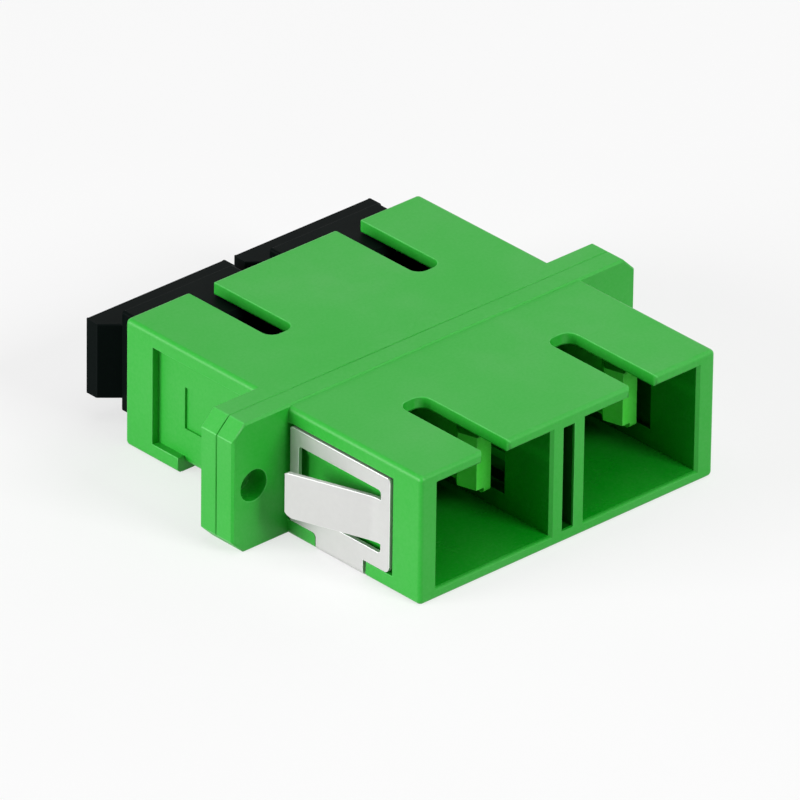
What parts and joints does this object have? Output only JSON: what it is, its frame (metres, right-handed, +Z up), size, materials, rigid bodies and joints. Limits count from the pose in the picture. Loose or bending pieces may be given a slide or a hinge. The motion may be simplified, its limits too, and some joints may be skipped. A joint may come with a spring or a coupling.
{
  "type": "duplex fibre optic panel adapter",
  "caption": "Flanged duplex fibre adapter that joins connector plugs end to end through a panel, with a spring clip on its front half and push-in dust caps in its rear ports.",
  "frame": {"origin": "centre of the line through the two screw holes, on the seam plane in the middle of the flange", "axes": "+X along the flange, +Y out of the rear ports towards the dust caps, +Z up through the roof with the key slots"},
  "size_m": [0.0348, 0.032, 0.0093],
  "materials": {
    "housing": "moulded green plastic, fine satin texture",
    "insert": "moulded green plastic, smooth",
    "sleeve": "ground white zirconia",
    "clip": "pressed spring steel, satin",
    "cap": "moulded black plastic, satin"
  },
  "bodies": {
    "adapter": {"housing_front_half": "housing", "housing_rear_half": "housing", "latch_insert_front_left": "insert", "latch_insert_front_right": "insert", "latch_insert_rear_left": "insert", "latch_insert_rear_right": "insert", "split_sleeve_left": "sleeve", "split_sleeve_right": "sleeve", "panel_clip": "clip"},
    "dust_cap_left": {"dust_cap_left": "cap"},
    "dust_cap_right": {"dust_cap_right": "cap"}
  },
  "joints": [
    {"name": "dust_cap_left_pull", "type": "slide", "parent": "adapter", "child": "dust_cap_left", "axis": [0, 1, 0], "range_m": [0, 0.005]},
    {"name": "dust_cap_right_pull", "type": "slide", "parent": "adapter", "child": "dust_cap_right", "axis": [0, 1, 0], "range_m": [0, 0.005]}
  ]
}
